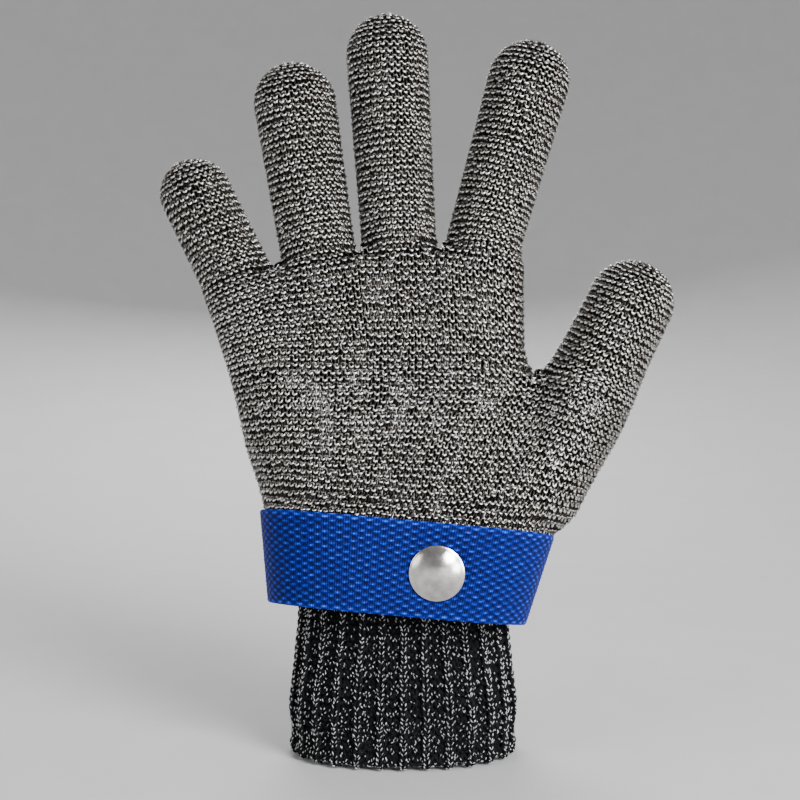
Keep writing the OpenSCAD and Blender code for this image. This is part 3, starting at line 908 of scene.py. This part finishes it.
ELASTIC_Z, ELASTIC_R, ELASTIC_GAP = [18, 26, 34], 0.5, 0.4
ELASTIC_COIL, ELASTIC_THREAD, ELASTIC_TURNS = 0.26, 0.24, 90


def unit_outline(angles, power):
    """Places on a rounded outline of half width and half depth 1, from its right end by the back."""
    return [np.sign(q) * np.abs(q) ** (2 / power) for q in (np.cos(angles), np.sin(angles))]


def cuff_ring(z, inset):
    """Evenly spaced points round the cuff at a height, moved in from its outside."""
    half_w, half_d = (np.interp(z, CUFF[:, 0], CUFF[:, c]) for c in (1, 2))
    x0, y0 = unit_outline(np.linspace(0, 2 * math.pi, CUFF_N, endpoint=False), CUFF_POWER)
    line = np.stack([(half_w - inset) * x0, (half_d - inset) * y0, np.full_like(x0, z)], 1)
    return even_points(np.vstack([line, line[:1]]), GRID_N)[0]


def cuff_rows():
    """Rings up the rib's outside: round the rolled hem from its inside, then up to the strap."""
    rows = []
    for a in np.radians(np.linspace(-160, 0, HEM_TURNS)):
        rows.append(cuff_ring(HEM_R * (1 + math.sin(a)), CUFF_T / 2 - HEM_R * math.cos(a)))
    first, top = HEM_R + RIB_COURSE, CUFF[-1, 0]
    for z in np.linspace(first, top, round((top - first) / RIB_COURSE) + 1):
        bead = (HEM_R - CUFF_T / 2) * max(0.0, 1 - (z - HEM_R) / HEM_FADES) ** 2
        rows.append(cuff_ring(z, -bead))
    return np.array(rows)


def flecks(cloth, rows, seed):
    """Short bits of steel thread that show on the rib's black yarn."""
    grid, normals = cloth
    r = np.random.default_rng(seed)
    parts = []
    for row in rows:
        line, out, high = knit_course(grid, normals, row, RIB_WALES, 0, seed, RIB)
        n = len(line)
        at = np.arange(0, n, LOOP_STEPS / FLECKS_A_WALE)
        at = at + r.normal(0, FLECK_STRAYS, RIB_WALES * FLECKS_A_WALE)
        level = high[at.astype(int) % n] / RIB.lift
        chance = np.where(level > FLECK_LOW[0], FLECK_LOW[1], 0)
        chance = np.where(level > FLECK_SHOWS[0], FLECK_SHOWS[1], chance)
        for c in at[r.random(len(at)) < chance]:
            lean = FLECK_LEAN * np.sign(math.sin(2 * math.pi * c / LOOP_STEPS))
            steps = c + r.uniform(*FLECK_LENGTHS) * FLECK_STEPS
            i, part = np.floor(steps).astype(int), (steps % 1)[:, None]
            path = line[i % n] * (1 - part) + line[(i + 1) % n] * part
            up = out[i % n]
            side = unit(np.cross(path[-1] - path[0], up[0]))
            slant = (r.normal(0, FLECK_SLANTS) + lean * FLECK_STEPS / FLECK_STEPS[-1])[:, None] * side
            parts.append(thread_part(path + RIB.radius * FLECK_OUT * up + slant,
                                     r.uniform(*FLECK_WIDTHS) * FLECK_R, 4, up, closed=False))
    return parts


def knit_cuff():
    """The rib's black yarn and its steel, for the hem and for the cuff above it."""
    cloth = cloth_of(cuff_rows(), RIB_IN)
    count = len(cloth[0]) - 2 * ENDS
    half = count // 2
    for k, (first, last) in enumerate([(0, half), (half, count)]):
        rib = knit(f"rib_knit_{k + 1}", cloth, [RIB_WALES] * count, first, last, 0, RIB_SEED, RIB, BLACK)
        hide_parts(["cuff_hem", "cuff_rib"][k])
        bits = flecks(cloth, range(first, last), RIB_SEED)
        steel = mesh_object(f"rib_steel_{k + 1}", *joined(bits), FLECK)
        for piece in (rib, steel):
            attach(piece, "cuff")


def wound(name, z, inset, coil_r, thread_r, turns, strands, material):
    """Threads wound in a coil along a ring inside the cuff."""
    ring = cuff_ring(z, inset)
    long = np.vstack([ring, ring[:1]])
    count = turns * COIL_STEPS
    at = np.arange(count) / count * len(ring)
    line = np.stack([np.interp(at, np.arange(len(long)), long[:, c]) for c in range(3)], 1)
    up = np.array([0, 0, 1])
    out = np.cross(unit(np.roll(line, -1, 0) - np.roll(line, 1, 0)), up)
    parts = []
    for k in range(strands):
        a = 2 * math.pi * (np.arange(count) / COIL_STEPS + k / strands)
        way = np.cos(a)[:, None] * out + np.sin(a)[:, None] * up
        parts.append(thread_part(line + coil_r * way, thread_r, 6, way))
    piece = mesh_object(name, *joined(parts), material)
    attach(piece, "cuff")
    return piece


def cuff_threads():
    """The overlock stitching along the hem's inside, and the elastic threads inside the rib."""
    inset = CUFF_T / 2 + HEM_R + OVERLOCK_R
    overlock = wound("overlock_thread", HEM_R, inset, OVERLOCK_R - OVERLOCK_THREAD, OVERLOCK_THREAD,
                     OVERLOCK_TURNS, 2, GREY_THREAD)
    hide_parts("cuff_overlock")
    inset = CUFF_T + ELASTIC_GAP + ELASTIC_R
    for k, z in enumerate(ELASTIC_Z):
        elastic = wound(f"elastic_{k + 1}", z, inset, ELASTIC_COIL, ELASTIC_THREAD,
                        ELASTIC_TURNS, 3, ELASTIC)
        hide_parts("cuff_elastic")


knit_cuff()
cuff_threads()


# ---------- the webbing strap
WEB_W, WEB_T = 29.0, 1.4
STRAP_Z, STRAP_DEPTH, STRAP_POWER = 58.0, 28.5, 3
STRAP_MID, MID_SHIFT = -1.25, 3.35  # its outline's middle in x, and how far that shifts up the tape
STRAP_HALF, HALF_FLARE = 43.45, 5.95  # its half width, and how much that grows
FLAP_LIFT, FLAP_SIDE = WEB_T + 2.8, WEB_T + 0.3  # how far outside the band, in front and at the sides
SNAP_X, CAP_R = 10.0, 8.8
BAND_END, FLAP_CUT, BAND_SHORT = SNAP_X - 13, -5.0, 0.3  # the band's end in x, the flap's in y
WEB_STEP, WEB_N = 0.4, 4000
EDGE_STEPS = 7  # points round the tape's edge
WEAVE_VARIES, WEAVE_RUN, WEAVE_SEED = 0.15, 5, 5
PRESS, PRESS_REACH, PRESS_EASE = 0.45, 3.5, 4.5  # how the press stud's cap dents the flap
SELVEDGE, SELVEDGE_EASE = 1.6, 0.8
WEB_TINT, WEB_PAINTED_HIGHLIGHT, WEB_SELVEDGE = 0.22, 0.42, 0.16  # its base tint, the painted highlight on the raised weave, and what the edge adds
SEAM_IN, SEAM_X, STITCH, STITCH_GAP = 2.6, (-33, 31), 3.2, 1
ROOT_FIRST, ROOT_STEP, ROOT_Y, ROOT_SLANT = -10.4, 2.6, (-3.2, 2.2), 0.3
STITCH_R, STITCH_OUT, STITCH_IN, STITCH_STEPS = 0.34, 0.35, 0.2, 9
STITCH_END = 0.45  # radius of a stitch's ends, as a share of its middle's


def strap_span(h):
    """Middle and half width of the strap's outline, h across the webbing."""
    return STRAP_MID + MID_SHIFT * h / WEB_W, STRAP_HALF + HALF_FLARE * h / WEB_W


def strap_height(x, y, h):
    return STRAP_Z + h - STRAP_SLOPE * x - STRAP_PITCH * y


def strap_point(x0, y0, h, side, front):
    """A place on the strap's outside: x0, y0 on the unit outline, h across the webbing."""
    middle, half = strap_span(h)
    x, y = np.broadcast_arrays(middle + side / 2 + (half + side / 2) * x0, (STRAP_DEPTH + front) * y0)
    return np.stack([x, y, strap_height(x, y, h)], -1)


def tape_section():
    """Round the tape's section, across the outside and back inside: places across it, how much
    they face out, and the numbers of points along a side and round an edge."""
    across, edge = int(WEB_W / WEB_STEP), WEB_T / 2
    flat = np.linspace(-WEB_W / 2 + edge, WEB_W / 2 - edge, across)
    bow = np.linspace(0, math.pi, EDGE_STEPS)[1:-1]
    h = np.concatenate([flat, WEB_W / 2 - edge + edge * np.sin(bow),
                        flat[::-1], -WEB_W / 2 + edge - edge * np.sin(bow)])
    face = np.concatenate([np.ones(across), np.cos(bow), -np.ones(across), -np.cos(bow)])
    return h, face, across, len(bow)


def tape_faces(n, m, across, bow):
    """The faces of n rings of m points round a tape, closed at its two cut ends."""
    i, j = np.arange(n - 1)[:, None], np.arange(m)[None, :]
    k = (j + 1) % m
    quads = [np.stack([i * m + j, (i + 1) * m + j, (i + 1) * m + k, i * m + k], -1).reshape(-1, 4)]
    for row, turn in ((0, 1), (n - 1, -1)):
        a = row * m + np.arange(across)
        b = row * m + (2 * across + bow - 1 - np.arange(across))
        quads.append(np.stack([a[:-1], a[1:], b[1:], b[:-1]], -1)[:, ::turn])
    return np.vstack(quads)


def webbing(name, side, front, begin, end, phase):
    """A woven tape along the strap's outline, between two angles, with its weave as real bumps."""
    x0, y0 = unit_outline(np.linspace(begin, end, WEB_N), STRAP_POWER)
    middle = strap_point(x0, y0, 0, side, front)
    long = np.concatenate([[0], np.cumsum(np.linalg.norm(np.diff(middle, axis=0), axis=1))])
    s = np.linspace(0, long[-1], int(long[-1] / WEB_STEP))[:, None]
    ux, uy = np.interp(s, long, x0), np.interp(s, long, y0)
    h, face, across, bow = tape_section()
    base = strap_point(ux, uy, h, side, front)
    up = strap_point(ux, uy, h + 0.1, side, front) - base
    out = unit(np.cross(np.gradient(base, axis=0), up))
    weave = np.cos(2 * math.pi * (s + phase) / WEAVE_LONG) * np.cos(2 * math.pi * h / WEAVE_WIDE)
    high = 0.5 + 0.5 * weave
    r = np.random.default_rng(WEAVE_SEED)
    drawn = r.normal(0, 1, (len(s) // WEAVE_RUN + 1, len(h))).repeat(WEAVE_RUN, axis=0)[:len(s)]
    wobble = 1 + WEAVE_VARIES * drawn
    press = 0.0
    if front:
        from_snap = np.hypot(base[..., 0] - SNAP_X, h)
        press = PRESS * smooth_step((CAP_R + PRESS_REACH - from_snap) / PRESS_EASE) * (base[..., 1] < 0)
    depth = WEB_T / 2 * (face - 1) + face * (WEAVE_HIGH * high * wobble - 0.8 * WEAVE_HIGH) - press
    verts = base + depth[..., None] * out
    selvedge = smooth_step((np.abs(h) - WEB_W / 2 + SELVEDGE) / SELVEDGE_EASE)
    # painted highlight on the raised floats of the weave, painted shade between them; lighter along the
    # selvedges
    painted_light_tint = WEB_TINT + WEB_PAINTED_HIGHLIGHT * high * wobble + WEB_SELVEDGE * selvedge
    places = [q.ravel() for q in np.broadcast_arrays(s + phase, h)]
    piece = mesh_object(name, verts.reshape(-1, 3), tape_faces(len(s), len(h), across, bow),
                        painted_light_tint.ravel(), BLUE, along=places[0], across=places[1])
    return piece, long[-1]


def outline_angle(y, front, right):
    """Angle on the strap's outline where its front half is at y, on the right or the left."""
    a = math.asin((-y / (STRAP_DEPTH + front)) ** (STRAP_POWER / 2))
    return -a if right else math.pi + a


def strap():
    """The band from under the press stud round the back, and the flap from the hinge to its free end."""
    u = (STRAP_MID - BAND_END) / STRAP_HALF
    begin = -math.pi / 2 - math.asin(u ** (STRAP_POWER / 2))
    end = outline_angle(FLAP_CUT + BAND_SHORT, 0, False)
    band, band_long = webbing("webbing_band", 0, 0, begin, end, 0.0)
    begin = outline_angle(FLAP_CUT, FLAP_LIFT, False)
    end = 2 * math.pi + outline_angle(FLAP_CUT, FLAP_LIFT, True)
    flap, flap_long = webbing("webbing_flap", FLAP_SIDE, FLAP_LIFT, begin, end, band_long)
    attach(band, "hand")
    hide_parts("strap_band")
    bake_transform(flap)
    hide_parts("strap_flap")


def stitches(name, ends, outward, node):
    """Threads that rise out of the webbing at one place and go back in at another."""
    parts = []
    t = np.linspace(0, 1, STITCH_STEPS)
    arc = np.sin(math.pi * t)
    for (a, b), way in zip(ends, outward):
        path = a + t[:, None] * (b - a) + (STITCH_OUT * arc - STITCH_IN)[:, None] * way
        wide = STITCH_R * (STITCH_END + (1 - STITCH_END) * arc)
        parts.append(thread_part(path, wide, 8, np.tile(way, (STITCH_STEPS, 1)), closed=False))
    piece = mesh_object(name, *joined(parts), BLUE_THREAD)
    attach(piece, "hand")
    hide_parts(node)


def band_point(x, h):
    """A place on the band's back at x, h across the webbing, and the way out of it."""
    middle, half = strap_span(h)
    u = (x - middle) / half
    v = (1 - abs(u) ** STRAP_POWER) ** (1 / STRAP_POWER)
    out = np.array([np.sign(u) * abs(u) ** (STRAP_POWER - 1) / half,
                    v ** (STRAP_POWER - 1) / STRAP_DEPTH, 0])
    y = STRAP_DEPTH * v
    return np.array([x, y, strap_height(x, y, h)]), unit(out)


def strap_stitching():
    ends, ways = [], []
    for h in (SEAM_IN - WEB_W / 2, WEB_W / 2 - SEAM_IN):
        for x in np.arange(SEAM_X[0], SEAM_X[1], STITCH):
            a, out = band_point(x, h)
            ends.append((a, band_point(x + STITCH - STITCH_GAP, h)[0]))
            ways.append(out)
    stitches("seam_stitches", ends, ways, "strap_seams")
    ends = []
    for h in np.arange(ROOT_FIRST, 0.1 - ROOT_FIRST, ROOT_STEP):
        middle, half = strap_span(h)
        x = middle - half
        z = strap_height(x, 0, h)
        ends.append((np.array([x, ROOT_Y[0], z + ROOT_SLANT]), np.array([x, ROOT_Y[1], z - ROOT_SLANT])))
    stitches("root_stitches", ends, [np.array([-1.0, 0, 0])] * len(ends), "flap_root_stitching")


strap()
strap_stitching()


# ---------- the press stud
CAP_RISE, CAP_RIM = 2.6, 0.42  # height of the cap's dome, and radius of its rolled rim
DOME_RINGS, RIM_RINGS = 22, 9
RIVET_R, RIVET_BORE = 1.5, 0.9


def snap_dome():
    """The cap with its rolled rim and hollow rivet, turned about its own axis."""
    low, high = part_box("snap_cap")
    x, z = (low[0] + high[0]) / 2 / MM, (low[2] + high[2]) / 2 / MM
    front, back, wide = low[1] / MM, high[1] / MM, (high[0] - low[0]) / 2 / MM
    ball = (wide ** 2 + CAP_RISE ** 2) / (2 * CAP_RISE)
    profile = [(ball * math.sin(q), ball * (1 - math.cos(q)))
               for q in np.linspace(0, math.asin((wide - CAP_RIM) / ball), DOME_RINGS)]
    edge = profile[-1][1] + CAP_RIM
    profile += [(wide - CAP_RIM + CAP_RIM * math.cos(q), edge - CAP_RIM * math.sin(q))
                for q in np.linspace(math.radians(60), math.radians(-90), RIM_RINGS)]
    profile += [(RIVET_R, edge + CAP_RIM), (RIVET_R, back - front)]
    profile += [(RIVET_BORE, back - front), (RIVET_BORE, edge + CAP_RIM)]
    cap = turned("snap_dome", profile, lambda a, b, h: ((x + a) * MM, (front + h) * MM, (z + b) * MM),
                 NICKEL)
    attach(cap, "strap_end")
    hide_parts("snap_cap")


snap_dome()
for node in ("snap_socket", "snap_stud", "snap_eyelet"):
    NODES[node].data.materials.clear()
    NODES[node].data.materials.append(NICKEL)
